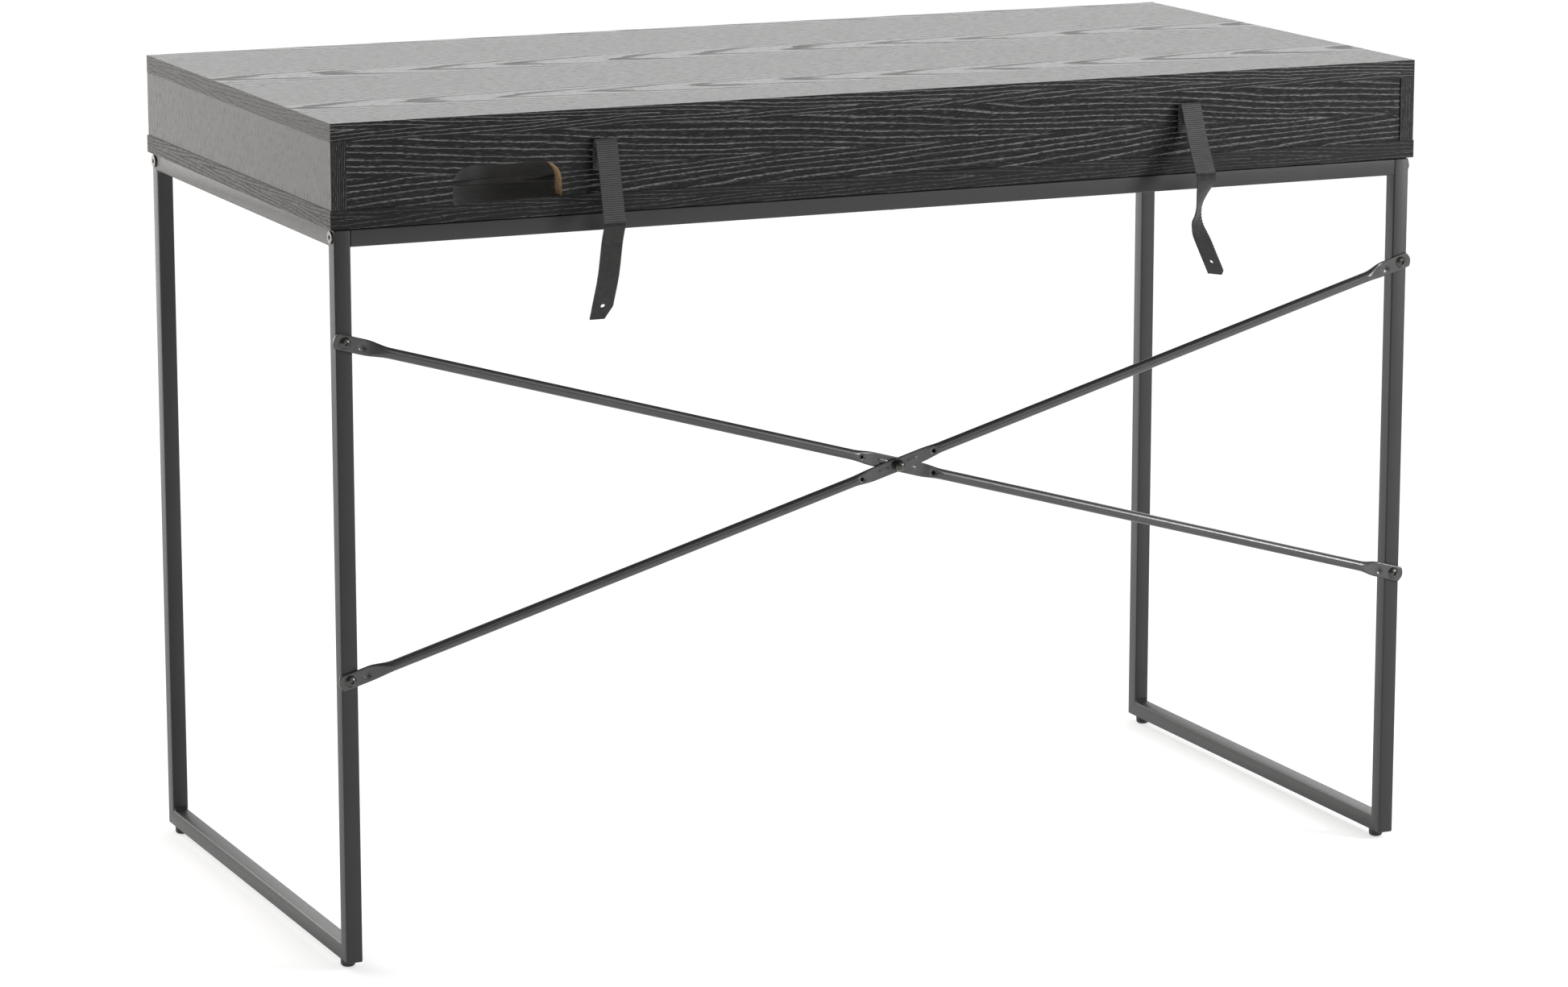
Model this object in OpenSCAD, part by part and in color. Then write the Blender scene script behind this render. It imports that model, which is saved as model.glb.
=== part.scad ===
// Writing desk: a flat box with two drawers and an open niche, on a welded tube frame
// with a crossed rear brace. Millimetres, +Z up. The drawers face -Y, the back faces +Y.
// The origin is on the floor, under the middle of the desktop.

/* [Desktop] */
// Width of the desktop
desk_w = 1050; // [1040:1:1200]
// Depth of the desktop
desk_d = 510; // [500:1:560]
// Height of the desktop above the floor
desk_h = 740; // [720:1:780]

/* [Box] */
// Thickness of the top, bottom, back and dividers
board_t = 16; // [15:0.5:18]
// Thickness of the two side panels
side_t = 14; // [14:0.5:18]
// Clear height between the top and the bottom panel
clear_h = 58; // [58:0.5:66]
// How far the bottom panel stands out past the side panels
base_lip = 1; // [0:0.1:2]
// How far the back panel is set in behind the rear edges
back_set_in = 1; // [0:0.1:3]
// Width of the open niche
niche_w = 286; // [270:1:300]

/* [Cable cut-out] */
// Width of the cut-out in the back panel
cutout_w = 99; // [60:1:120]
// Height of the cut-out above the bottom panel
cutout_h = 31; // [22:1:40]
// Radius of its two upper corners
cutout_r = 17; // [5:1:20]
// Distance of its middle from the middle of the desk
cutout_x = 366; // [340:1:400]

/* [Frame] */
// Outer size of the square tube
tube = 15; // [15:0.5:18]
// Wall thickness of the square tube
tube_wall = 1.2; // [1:0.1:1.5]
// Width of the frame over its legs
frame_w = 1045; // [1035:1:1050]
// Depth of the frame over its legs
frame_d = 506; // [490:1:508]
// Height of the feet under the frame
foot_h = 7; // [5:0.5:12]
// Leg length of the weld beads in the inner corners
weld = 3; // [2:0.5:5]

/* [Brace] */
// Height of the upper brace bolts
brace_top = 553; // [500:1:600]
// Height of the lower brace bolts
brace_low = 259; // [200:1:300]
// Outer diameter of the brace tube
brace_d = 9.5; // [9:0.5:12]
// Width of the flattened ends of the brace
brace_flat_w = 14; // [12:0.5:15]
// Thickness of the flattened tube
plate_t = 2.4; // [2:0.1:3]

/* [Drawers] */
// Gap round each drawer front
front_gap = 2; // [1.5:0.1:3]
// Length of the drawer box behind its front
drawer_l = 400; // [380:1:410]
// Height of the drawer walls
drawer_h = 40; // [38:0.5:42]
// Thickness of the drawer walls
drawer_wall = 12; // [10:0.5:13]
// Thickness of the drawer bottom
floor_t = 3; // [2.5:0.5:4]
// Width of the finger grip in each drawer front
grip_w = 99; // [70:1:140]
// Depth of the finger grip
grip_h = 18; // [14:1:22]

/* [Slides] */
// Height of the ball slides
slide_h = 35; // [34:0.5:36]
// Width of a pair of slide members
slide_w = 12.5; // [12.5:0.1:13]
// Length of the slide members
slide_l = 394; // [380:1:400]
// Travel of a drawer
travel = 280; // [200:1:280]

/* [Wall straps] */
// Width of the strap webbing
strap_w = 20; // [15:1:25]
// Thickness of the strap webbing
strap_t = 1.4; // [1:0.1:2]
// Diameter of the hole near the tip of each strap
strap_hole_d = 4; // [3:0.5:5]

/* [Hidden] */
$fn = 48;
eps = 0.1;
fit = 0.1;              // radial clearance of a fastener in its hole
ash = [0.22, 0.22, 0.22];
hardboard = [0.16, 0.15, 0.14];
powder_coat = [0.27, 0.27, 0.28];
zinc = [0.75, 0.75, 0.77];
black_steel = [0.16, 0.16, 0.16];
webbing = [0.11, 0.11, 0.11];
plastic = [0.08, 0.08, 0.08];
beech = [0.80, 0.66, 0.48];

// Levels
top_z = desk_h - board_t;
floor_z = top_z - clear_h;
box_z = floor_z - board_t;
front_y = -desk_d / 2;
back_y = desk_d / 2;
back_face_y = back_y - back_set_in;
back_in_y = back_face_y - board_t;
side_x = desk_w / 2 - side_t;

// Bays, from left to right as seen from the front
bay_w = (2 * side_x - niche_w - 2 * board_t) / 2;
niche_x0 = side_x - niche_w;
middle_x0 = -side_x + bay_w;
bay_x0 = [-side_x, middle_x0 + board_t];
board_x = [-side_x - side_t / 2, middle_x0 + board_t / 2, niche_x0 - board_t / 2, side_x + side_t / 2];
board_set_back = 2;
side_set_back = 0.5;

// Frame
leg_x = frame_w / 2;
leg_y = frame_d / 2;
rail_mid_z = box_z - tube / 2;
rail_l = frame_w - 2 * tube - 0.4;
rail_y = leg_y - tube / 2;
tube_in = tube - 2 * tube_wall;
plug_l = 25;
foot_x = leg_x - tube / 2;
foot_y = leg_y - 18;
foot_r = 6.5;
peg_r = 3;
peg_l = 9;
frame_screw_y = 175;
frame_screw_r = 2.25;
frame_screw_up = 12;        // how far the screws reach into the bottom panel
frame_head_r = 4.5;
frame_head_h = 2.4;
frame_screws_at = [[-foot_x, -frame_screw_y], [-foot_x, frame_screw_y], [foot_x, -frame_screw_y],
                   [foot_x, frame_screw_y], [0, -rail_y], [0, rail_y]];

// Brace
bolt_r = 3;
brace_x = leg_x - tube / 2;
brace_rise = brace_top - brace_low;
brace_half = sqrt(pow(2 * brace_x, 2) + pow(brace_rise, 2)) / 2;
brace_angle = atan(brace_rise / (2 * brace_x));
brace_mid_z = (brace_top + brace_low) / 2;
brace_axis_y = leg_y + brace_d / 2;
brace_end_r = 10.4;         // from the bolt to the tip of the flat end
end_flat = 18;              // flat stretch inward of each end bolt
mid_flat = 24;              // flat stretch each way from the crossing
flare = 22;                 // stretch where the tube goes from flat to round
end_hole = 16;              // small blind press hole near each end
end_hole_floor = 1;         // wall left behind it
mid_hole = 36.6;            // small blind press holes near the crossing
mid_hole_floor = 4;         // their floors, measured from the leg
mid_w = 12.6;               // width of the flat middle
press_hole_d = 4;
cross_y = leg_y + plate_t + 0.1;

// Bolts and screws
head_r = 5.25;
head_h = 3;
socket_d = 4.6;
socket_h = 1.8;
corner_head_r = 5.5;
corner_head_h = 1.6;
corner_bolt_l = 38;
brace_bolt_l = 12.5;        // the part of a brace bolt that is inside the leg
rivet_r = 4.5;
rivet_l = 11;
cap_flange_r = 6;
cap_dome_r = 4.9;
cap_flange_h = 1;
cap_dome_h = 3.4;
cap_thread_h = 5.2;
base_screw_l = 50;
base_screw_r = 3.4;
base_head_r = 5;
base_head_h = 3;
board_screw_y = 220;
back_screw_x = [-380, -100, 110, 450];
dowel_r = 4;
dowel_l = 30;
dowel_in_board = 11;
dowel_y = 150;
cam_r = 7.5;
cam_depth = 11;
cam_drop = 24;              // from the underside of the top to the middle of a cam
cam_bolt_r = 3;
cam_bolt_up = 12;
cam_bolt_down = 3;          // below the middle of its cam
cam_y = 200;
back_cam_x = [-450, -20, 190];
slide_screw_r = 1.7;
slide_screw_l = 7;
slide_head_r = 3.3;
slide_head_h = 1.1;
slide_screw_y = [-180, 100];
wall_screw_y = [-150, 130];
wall_screw_l = 8;

// Drawers
drawer_z = floor_z + 6;
drawer_mid_z = drawer_z + drawer_h / 2;
drawer_out = bay_w / 2 - slide_w;
drawer_in = drawer_out - drawer_wall;
drawer_y0 = front_y + board_t;
housing = 8;                // how deep the drawer walls stand in the front
groove = 5;
groove_z = drawer_z + 4;
corner_screw_l = 30;
corner_screw_r = 1.75;
corner_screw_head_r = 3.5;
corner_screw_head_h = 2.5;
corner_screw_z = 11;        // above and below the middle of the wall

// Slides, as a section: s runs from the bay wall towards the drawer
sheet = 1.2;
slide_y0 = drawer_y0 + 2;
flange = 9.4;
lip_h = 1.7;
inner_half = 10.9;
inner_s0 = 2.8;
ball_r = 2.4;
ball_z = (slide_h / 2 - sheet + inner_half) / 2;
ball_s = 5.3;
cage_s0 = 1.6;
cage_t = 0.8;
cage_w = 7.2;
cage_top = ball_z + 0.5;
cage_l = 100;
cage_y0 = slide_y0 + (slide_l - travel) / 2 + travel / 2 - cage_l / 2;
balls = 6;
ball_pitch = 17;

// Wall straps: centre lines as [y, z], from the screwed tail over the fold to the tip
strap_x = [-290, 278];
tail_y = back_face_y + strap_t / 2 + 0.1;
strap_paths = [
    [[tail_y, 686], [tail_y, 709], [257.5, 712], [260.5, 710.5], [272, 685], [282, 667], [291.5, 650],
     [291, 646], [275, 612], [290, 589], [313, 566]],
    [[tail_y, 686], [tail_y, 710], [257.5, 713], [260, 711.5], [264, 702], [270, 680], [276, 658],
     [279.5, 643], [278.5, 639], [273, 626], [264, 596], [244, 555]]];
strap_hole_up = 14;
strap_screw_z = 700;
strap_screw_r = 2.1;
strap_screw_l = 14;
washer_r = 6;
washer_t = 0.8;
pan_r = 4;
pan_h = 2.2;

// ---- Helpers ----------------------------------------------------------------------

module along_x(x = 0, y = 0, z = 0) translate([x, y, z]) rotate([0, 90, 0]) children();
module along_y(x = 0, y = 0, z = 0) translate([x, y, z]) rotate([-90, 0, 0]) children();
module both_x() { children(); mirror([1, 0, 0]) children(); }
module both_y() { children(); mirror([0, 1, 0]) children(); }

// A low domed head with a hexagon socket, standing on z = 0
module button_head(r, h) {
    cap_r = (r * r + h * h) / (2 * h);
    difference() {
        intersection() {
            translate([0, 0, h - cap_r]) sphere(r = cap_r);
            cylinder(r = r, h = h);
        }
        translate([0, 0, h - socket_h]) cylinder(d = socket_d, h = socket_h + eps, $fn = 6);
    }
}

// A block between its lowest and highest corners
module block(low, high) translate(low) cube(high - low);

// ---- Box --------------------------------------------------------------------------

module dowel_holes() {
    for (x = board_x, y = [-dowel_y, dowel_y], z = [top_z, floor_z])
        translate([x, y, z - (z == top_z ? dowel_l - dowel_in_board : dowel_in_board)])
            cylinder(r = dowel_r + fit, h = dowel_l);
}

module base_screw_holes() {
    for (at = base_screws_at())
        translate([at[0], at[1], box_z - eps]) {
            cylinder(r = base_screw_r + fit, h = base_screw_l + eps);
            cylinder(r = base_head_r + fit, h = base_head_h + eps);
        }
}

function base_screws_at() = concat(
    [for (x = board_x, y = [-board_screw_y, board_screw_y]) [x, y]],
    [for (x = back_screw_x) [x, back_face_y - board_t / 2]]);

// Cams in the upright boards: [face x, direction into the board, y]
function board_cams() = [
    [-side_x, -1, cam_y], [middle_x0, 1, cam_y], [niche_x0, -1, cam_y], [side_x, 1, cam_y],
    [niche_x0, -1, -cam_y], [side_x, 1, -cam_y]];
function cam_bolt_x(c) = c[0] + c[1] * (abs(c[0]) == side_x ? side_t : board_t) / 2;

module cam_pockets(r, depth) {
    for (c = board_cams())
        along_x(c[1] > 0 ? c[0] : c[0] - depth, c[2], top_z - cam_drop) cylinder(r = r, h = depth);
    for (x = back_cam_x)
        along_y(x, back_in_y, top_z - cam_drop) cylinder(r = r, h = depth);
}

module cam_bolt_shafts(r, below) {
    for (c = board_cams())
        translate([cam_bolt_x(c), c[2], top_z - cam_drop - below])
            cylinder(r = r, h = cam_drop + below + cam_bolt_up);
    for (x = back_cam_x)
        translate([x, back_face_y - board_t / 2, top_z - cam_drop - below])
            cylinder(r = r, h = cam_drop + below + cam_bolt_up);
}

module slide_screw_holes() {
    for (i = [0:3], y = slide_screw_y)
        at_slide(i) along_x(-slide_screw_l, y, 0)
            cylinder(r = slide_screw_r + fit, h = slide_screw_l + eps);
}

module strap_screw_holes() {
    for (x = strap_x)
        along_y(x, back_face_y - strap_screw_l, strap_screw_z)
            cylinder(r = strap_screw_r + fit, h = strap_screw_l + eps);
}

module upright(x0, t, y0, y1) {
    color(ash) difference() {
        block([x0, y0, floor_z], [x0 + t, y1, top_z]);
        dowel_holes();
        base_screw_holes();
        cam_pockets(cam_r + fit, cam_depth);
        cam_bolt_shafts(cam_bolt_r + 2 * fit, cam_bolt_down + 1);
        slide_screw_holes();
    }
}

module top_panel() {
    color(ash) difference() {
        block([-desk_w / 2, front_y, top_z], [desk_w / 2, back_y, desk_h]);
        dowel_holes();
        cam_bolt_shafts(cam_bolt_r + 2 * fit, cam_bolt_down + 1);
    }
}

module bottom_panel() {
    color(ash) difference() {
        block([-desk_w / 2 - base_lip, front_y - base_lip, box_z],
              [desk_w / 2 + base_lip, back_y, floor_z]);
        dowel_holes();
        base_screw_holes();
        for (at = frame_screws_at)
            translate([at[0], at[1], box_z - eps])
                cylinder(r = frame_screw_r + fit, h = frame_screw_up + 1 + eps);
    }
}

module side_panel_left() upright(-desk_w / 2, side_t, front_y + side_set_back, back_y);
module side_panel_right() upright(side_x, side_t, front_y + side_set_back, back_y);
module divider_middle() upright(middle_x0, board_t, front_y + board_set_back, back_in_y);
module divider_niche() upright(niche_x0 - board_t, board_t, front_y + board_set_back, back_in_y);

// A rectangle standing on y = 0 with its two upper corners rounded
module arch(w, h, r) {
    translate([-w / 2, 0]) square([w, h - r]);
    translate([-w / 2 + r, 0]) square([w - 2 * r, h]);
    for (x = [-w / 2 + r, w / 2 - r]) translate([x, h - r]) circle(r = r);
}

module back_panel() {
    color(ash) difference() {
        block([-side_x, back_in_y, floor_z], [side_x, back_face_y, top_z]);
        translate([cutout_x, back_face_y + eps, floor_z - eps]) rotate([90, 0, 0])
            linear_extrude(board_t + 2 * eps) arch(cutout_w, cutout_h + eps, cutout_r);
        base_screw_holes();
        cam_pockets(cam_r + fit, cam_depth);
        cam_bolt_shafts(cam_bolt_r + 2 * fit, cam_bolt_down + 1);
        strap_screw_holes();
    }
}

module dowels() {
    color(beech) for (x = board_x, y = [-dowel_y, dowel_y], z = [top_z, floor_z])
        translate([x, y, z - (z == top_z ? dowel_l - dowel_in_board : dowel_in_board)])
            cylinder(r = dowel_r, h = dowel_l);
}

module cam_locks() {
    color(zinc) difference() {
        cam_pockets(cam_r, cam_depth);
        cam_bolt_shafts(cam_bolt_r + 4 * fit, cam_bolt_down + 1);
    }
}

module cam_bolts() color(zinc) cam_bolt_shafts(cam_bolt_r, cam_bolt_down);

module base_screws() {
    color(black_steel) for (at = base_screws_at())
        translate([at[0], at[1], box_z]) difference() {
            union() {
                cylinder(r = base_screw_r, h = base_screw_l - eps);
                cylinder(r = base_head_r, h = base_head_h);
            }
            translate([0, 0, -eps]) cylinder(d = socket_d, h = 2, $fn = 6);
        }
}

// ---- Drawers ----------------------------------------------------------------------

module at_bay(i) translate([bay_x0[i] + bay_w / 2, 0, 0]) children();

module drawer_floor_groove() {
    block([-drawer_in - groove, drawer_y0 - groove, groove_z],
          [drawer_in + groove, drawer_y0 + drawer_l - drawer_wall + groove, groove_z + floor_t]);
}

module drawer_wall_block() {
    block([drawer_in, drawer_y0 - housing, drawer_z],
          [drawer_out, drawer_y0 + drawer_l, drawer_z + drawer_h]);
}

module corner_screw_shafts(clear) {
    for (z = [-corner_screw_z, corner_screw_z])
        along_x(drawer_out - corner_screw_l, drawer_y0 + drawer_l - drawer_wall / 2, drawer_mid_z + z) {
            cylinder(r = corner_screw_r + clear, h = corner_screw_l + clear);
            translate([0, 0, corner_screw_l - corner_screw_head_h])
                cylinder(r = corner_screw_head_r + clear, h = corner_screw_head_h + clear);
        }
}

module drawer_front(i) {
    color(ash) at_bay(i) difference() {
        block([-bay_w / 2 + front_gap, front_y, floor_z + front_gap],
              [bay_w / 2 - front_gap, drawer_y0, top_z - front_gap]);
        both_x() drawer_wall_block();
        drawer_floor_groove();
        translate([0, drawer_y0 + eps, top_z - front_gap + eps]) rotate([90, 180, 0])
            linear_extrude(board_t + 2 * eps) arch(grip_w, grip_h + eps, grip_h * 0.7);
    }
}

// side is -1 for the left wall and 1 for the right wall
module drawer_wall(i, side) {
    color(ash) at_bay(i) mirror([side < 0 ? 1 : 0, 0, 0]) difference() {
        drawer_wall_block();
        drawer_floor_groove();
        corner_screw_shafts(fit);
        for (y = wall_screw_y)
            along_x(drawer_out - wall_screw_l, y, drawer_mid_z)
                cylinder(r = slide_screw_r + fit, h = wall_screw_l + eps);
    }
}

module drawer_back(i) {
    color(ash) at_bay(i) difference() {
        block([-drawer_in, drawer_y0 + drawer_l - drawer_wall, drawer_z],
              [drawer_in, drawer_y0 + drawer_l, drawer_z + drawer_h]);
        drawer_floor_groove();
        both_x() corner_screw_shafts(fit);
    }
}

module drawer_bottom(i) color(hardboard) at_bay(i) drawer_floor_groove();

module drawer_screws(i) {
    color(zinc) at_bay(i) both_x() {
        corner_screw_shafts(0);
        for (y = wall_screw_y)
            along_x(drawer_out - wall_screw_l, y, drawer_mid_z) {
                cylinder(r = slide_screw_r, h = wall_screw_l);
                translate([0, 0, wall_screw_l]) cylinder(r = slide_head_r, h = slide_head_h);
            }
    }
}

// ---- Ball slides ------------------------------------------------------------------

// Puts a slide's section frame on its bay wall: +X points from the wall to the drawer
module at_slide(i) {
    bay = floor(i / 2);
    right = i % 2;
    translate([bay_x0[bay] + right * bay_w, 0, drawer_mid_z]) mirror([right, 0, 0]) children();
}

module both_z() { children(); mirror([0, 0, 1]) children(); }

module slide_outer(i) {
    half = slide_h / 2;
    color(zinc) at_slide(i) difference() {
        union() {
            block([0, slide_y0, -half], [sheet, slide_y0 + slide_l, half]);
            both_z() {
                block([0, slide_y0, half - sheet], [flange, slide_y0 + slide_l, half]);
                block([flange - 1, slide_y0, half - sheet - lip_h], [flange, slide_y0 + slide_l, half]);
            }
        }
        for (y = slide_screw_y) along_x(-eps, y, 0) cylinder(r = slide_head_r + fit, h = sheet + 2 * eps);
    }
}

module slide_inner(i) {
    color(zinc) at_slide(i) difference() {
        union() {
            block([slide_w - sheet, slide_y0, -inner_half], [slide_w, slide_y0 + slide_l, inner_half]);
            both_z()
                block([inner_s0, slide_y0, inner_half - sheet], [slide_w, slide_y0 + slide_l, inner_half]);
        }
        for (y = wall_screw_y)
            along_x(slide_w - sheet - eps, y, 0) cylinder(r = slide_head_r + fit, h = sheet + 2 * eps);
    }
}

module at_balls(z) {
    for (k = [0:balls - 1])
        translate([ball_s, cage_y0 + (cage_l - (balls - 1) * ball_pitch) / 2 + k * ball_pitch, z])
            children();
}

module slide_cage(i) {
    color(plastic) at_slide(i) difference() {
        union() {
            block([cage_s0, cage_y0, -cage_top], [cage_s0 + cage_t, cage_y0 + cage_l, cage_top]);
            both_z()
                block([cage_s0, cage_y0, cage_top - 1], [cage_s0 + cage_w, cage_y0 + cage_l, cage_top]);
        }
        at_balls(-slide_h) cylinder(r = ball_r + fit, h = 2 * slide_h);
    }
}

module slide_balls(bay) {
    color(zinc) for (i = [2 * bay, 2 * bay + 1]) at_slide(i) both_z() at_balls(ball_z) sphere(r = ball_r);
}

module slide_screws() {
    color(zinc) for (i = [0:3], y = slide_screw_y)
        at_slide(i) along_x(-slide_screw_l + eps, y, 0) {
            cylinder(r = slide_screw_r, h = slide_screw_l - eps);
            translate([0, 0, slide_screw_l - eps]) cylinder(r = slide_head_r, h = slide_head_h);
        }
}

// ---- Frame ------------------------------------------------------------------------

module corner_bolt_holes(r) {
    for (y = [-rail_y, rail_y])
        along_x(leg_x - corner_bolt_l - 1, y, rail_mid_z) cylinder(r = r, h = corner_bolt_l + 2);
}

// One welded loop of square tube: two legs, a top rail and a floor rail
module side_frame() {
    z0 = foot_h;
    z1 = box_z;
    color(powder_coat) difference() {
        union() {
            difference() {
                block([leg_x - tube, -leg_y, z0], [leg_x, leg_y, z1]);
                block([leg_x - tube - eps, -leg_y + tube, z0 + tube],
                      [leg_x + eps, leg_y - tube, z1 - tube]);
            }
            for (corner = [[1, z0 + tube, 1], [1, z1 - tube, -1], [-1, z0 + tube, 1], [-1, z1 - tube, -1]])
                translate([leg_x - tube + 1, corner[0] * (leg_y - tube), corner[1]]) rotate([90, 0, 90])
                    linear_extrude(tube - 2)
                        polygon([[eps * corner[0], -eps * corner[2]], [-weld * corner[0], -eps * corner[2]],
                                 [eps * corner[0], weld * corner[2]]]);
        }
        difference() {
            block([leg_x - tube + tube_wall, -leg_y + tube_wall, z0 + tube_wall],
                  [leg_x - tube_wall, leg_y - tube_wall, z1 - tube_wall]);
            block([leg_x - tube, -leg_y + tube - tube_wall, z0 + tube - tube_wall],
                  [leg_x, leg_y - tube + tube_wall, z1 - tube + tube_wall]);
        }
        corner_bolt_holes(bolt_r + 2 * fit);
        for (z = [brace_low, brace_top])
            along_y(brace_x, leg_y - tube_wall - eps, z)
                cylinder(r = rivet_r + fit, h = tube_wall + 2 * eps);
        for (y = [-frame_screw_y, frame_screw_y])
            translate([foot_x, y, z1 - tube - eps])
                cylinder(r = frame_screw_r + fit, h = tube + 2 * eps);
        for (y = [-foot_y, foot_y])
            translate([foot_x, y, z0 - eps]) cylinder(r = peg_r + fit, h = tube_wall + 2 * eps);
    }
}

module side_frame_right() side_frame();
module side_frame_left() mirror([1, 0, 0]) side_frame();

module cross_rail(y) {
    color(powder_coat) difference() {
        block([-rail_l / 2, y - tube / 2, box_z - tube], [rail_l / 2, y + tube / 2, box_z]);
        block([-rail_l / 2 - eps, y - tube_in / 2, box_z - tube + tube_wall],
              [rail_l / 2 + eps, y + tube_in / 2, box_z - tube_wall]);
        translate([0, y, box_z - tube - eps]) cylinder(r = frame_screw_r + fit, h = tube + 2 * eps);
    }
}

module front_rail() cross_rail(-rail_y);
module rear_rail() cross_rail(rail_y);

module rail_plugs() {
    size = tube_in - 2 * fit;
    color(zinc) both_x() both_y() difference() {
        translate([rail_l / 2 - plug_l, rail_y - size / 2, rail_mid_z - size / 2])
            cube([plug_l, size, size]);
        along_x(rail_l / 2 - plug_l - eps, rail_y, rail_mid_z)
            cylinder(r = bolt_r + fit, h = plug_l + 2 * eps);
    }
}

module corner_bolts() {
    color(black_steel) both_x() both_y() along_x(leg_x, rail_y, rail_mid_z) {
        translate([0, 0, -corner_bolt_l]) cylinder(r = bolt_r, h = corner_bolt_l + eps);
        difference() {
            cylinder(r = corner_head_r, h = corner_head_h);
            translate([0, 0, corner_head_h - 1.2]) cylinder(d = socket_d, h = 2, $fn = 6);
        }
    }
}

module frame_screws() {
    color(zinc) for (at = frame_screws_at) translate([at[0], at[1], box_z - tube]) {
        cylinder(r = frame_screw_r, h = tube + frame_screw_up);
        mirror([0, 0, 1]) button_head(frame_head_r, frame_head_h);
    }
}

module rivet_nuts() {
    color(zinc) both_x() for (z = [brace_low, brace_top])
        along_y(brace_x, leg_y - rivet_l, z) difference() {
            cylinder(r = rivet_r, h = rivet_l);
            translate([0, 0, -eps]) cylinder(r = bolt_r + fit, h = rivet_l + 2 * eps);
        }
}

module foot(i) {
    x = i % 2 == 0 ? -foot_x : foot_x;
    y = i < 2 ? -foot_y : foot_y;
    round_r = 3;
    arc = [for (a = [0:15:90]) [foot_r - round_r + round_r * sin(a), round_r - round_r * cos(a)]];
    color(plastic) translate([x, y, 0]) rotate_extrude()
        polygon(concat([[0, 0]], arc, [[foot_r, foot_h], [peg_r, foot_h],
                                       [peg_r, foot_h + peg_l], [0, foot_h + peg_l]]));
}

// ---- Brace ------------------------------------------------------------------------

// The flat stretch x0 to x1 of a pressed tube, with its inner face at y
module press_flat(x0, x1, y, w) block([x0, y, -w / 2], [x1, y + plate_t, w / 2]);

// The stretch where the tube goes from flat at x0 to round at x1
module press_flare(x0, x1, y, w) {
    step = x1 > x0 ? 0.2 : -0.2;
    hull() {
        block([min(x0, x0 - step), y, -w / 2], [max(x0, x0 - step), y + plate_t, w / 2]);
        along_x(min(x1, x1 + step), brace_axis_y, 0) cylinder(d = brace_d, h = 0.2, $fn = 32);
    }
}

// A brace along X through z = 0; mid_y is the inner face of its flat middle
module brace(mid_y) {
    r0 = mid_flat + flare;
    r1 = brace_half - end_flat - flare;
    difference() {
        union() {
            press_flat(-mid_flat, mid_flat, mid_y, mid_w);
            for (side = [-1, 1]) {
                press_flare(side * mid_flat, side * r0, mid_y, mid_w);
                press_flare(side * (brace_half - end_flat), side * r1, leg_y, brace_flat_w);
            }
            both_x() {
                along_x(r0, brace_axis_y, 0) cylinder(d = brace_d, h = r1 - r0);
                translate([0, leg_y + plate_t, 0]) rotate([90, 0, 0]) linear_extrude(plate_t) {
                    translate([brace_half - end_flat, -brace_flat_w / 2]) square([end_flat, brace_flat_w]);
                    intersection() {
                        translate([brace_half, 0]) circle(r = brace_end_r);
                        translate([brace_half - 1, -brace_flat_w / 2]) square(brace_flat_w);
                    }
                }
            }
        }
        for (x = [-brace_half, 0, brace_half])
            along_y(x, leg_y - 1, 0) cylinder(r = bolt_r + 2 * fit, h = brace_d + 2);
        both_x() {
            along_y(brace_half - end_hole, leg_y + end_hole_floor, 0) cylinder(d = press_hole_d, h = brace_d);
            along_y(mid_hole, leg_y + mid_hole_floor, 0) cylinder(d = press_hole_d, h = brace_d);
        }
    }
}

// brace_front is the outer one of the pair, away from the desk
module brace_front() {
    color(powder_coat) translate([0, 0, brace_mid_z]) rotate([0, brace_angle, 0]) brace(cross_y + plate_t);
}

module brace_rear() {
    color(powder_coat) translate([0, 0, brace_mid_z]) rotate([0, -brace_angle, 0]) brace(cross_y);
}

module brace_bolts() {
    color(black_steel) both_x() for (z = [brace_low, brace_top]) {
        along_y(brace_x, leg_y - brace_bolt_l, z) cylinder(r = bolt_r, h = brace_bolt_l + plate_t + eps);
        along_y(brace_x, leg_y + plate_t, z) button_head(head_r, head_h);
    }
}

module centre_bolt() {
    color(black_steel) {
        along_y(0, cross_y - eps, brace_mid_z) cylinder(r = bolt_r, h = 2 * plate_t + cap_thread_h);
        translate([0, cross_y, brace_mid_z]) rotate([90, 0, 0]) button_head(head_r, head_h);
    }
}

module centre_cap_nut() {
    color(black_steel) along_y(0, cross_y + 2 * plate_t, brace_mid_z) difference() {
        union() {
            cylinder(r = cap_flange_r, h = cap_flange_h);
            cylinder(r = cap_dome_r, h = cap_dome_h);
            translate([0, 0, cap_dome_h]) intersection() {
                sphere(r = cap_dome_r);
                cylinder(r = cap_dome_r, h = cap_dome_r);
            }
        }
        translate([0, 0, -eps]) cylinder(r = bolt_r + fit, h = cap_thread_h + eps);
    }
}

// ---- Wall straps ------------------------------------------------------------------

function unit(v) = v / norm(v);
function heading(path, k) = unit(path[min(k + 1, len(path) - 1)] - path[max(k - 1, 0)]);
function side_of(path, k, d) = path[k] + d * [-heading(path, k)[1], heading(path, k)[0]];

module strap(i) {
    path = strap_paths[i];
    last = len(path) - 1;
    tip = path[last];
    lead = unit(tip - path[last - 1]);
    hole = tip - strap_hole_up * lead;
    band = concat([for (k = [0:last]) side_of(path, k, strap_t / 2)],
                  [for (k = [last:-1:0]) side_of(path, k, -strap_t / 2)]);
    color(webbing) difference() {
        translate([strap_x[i] - strap_w / 2, 0, 0]) rotate([90, 0, 90])
            linear_extrude(strap_w) polygon(band);
        translate([strap_x[i], hole[0], hole[1]]) rotate([atan2(lead[1], lead[0]), 0, 0])
            cylinder(d = strap_hole_d, h = 4 * strap_t, center = true);
        along_y(strap_x[i], back_face_y - 1, strap_screw_z)
            cylinder(r = strap_screw_r + fit, h = 1 + 2 * strap_t);
    }
}

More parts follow.
